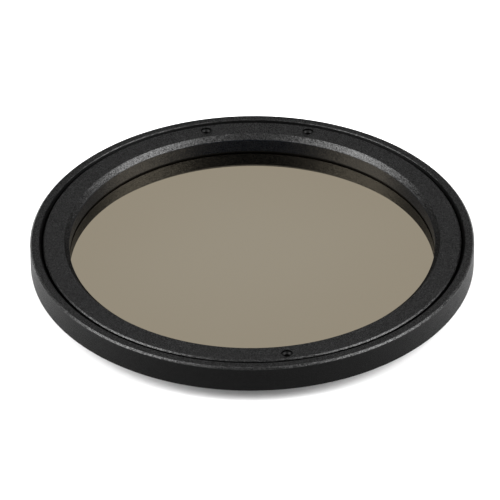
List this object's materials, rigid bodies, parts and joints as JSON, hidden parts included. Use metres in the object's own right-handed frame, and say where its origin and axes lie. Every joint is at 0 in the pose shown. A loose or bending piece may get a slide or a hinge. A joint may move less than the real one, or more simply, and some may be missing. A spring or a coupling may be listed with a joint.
{
  "type": "telescope solar filter",
  "caption": "Front-mounted solar filter: a black anodised cell with a mirror-coated glass disc held by a recessed front ring and locking set screws.",
  "frame": {"origin": "centre of the flat rear face of the threaded skirt", "axes": "+Z along the optical axis, out of the front face towards the Sun; +X to the right and +Y away from the viewer as the picture shows it"},
  "size_m": [0.1002, 0.1002, 0.0096],
  "materials": {
    "anodised_cell": "bead-blasted black anodised aluminium",
    "anodised_ring": "bead-blasted black anodised aluminium",
    "coated_glass": "warm grey metal coating on polished glass",
    "gasket_rubber": "plain black",
    "oxide_screw": "black oxide"
  },
  "bodies": {
    "root": {"cell": "anodised_cell", "front_ring": "anodised_ring", "filter_glass": "coated_glass", "front_gasket": "gasket_rubber", "rear_gasket": "gasket_rubber", "set_screw_1": "oxide_screw", "set_screw_2": "oxide_screw", "set_screw_3": "oxide_screw"}
  },
  "joints": []
}
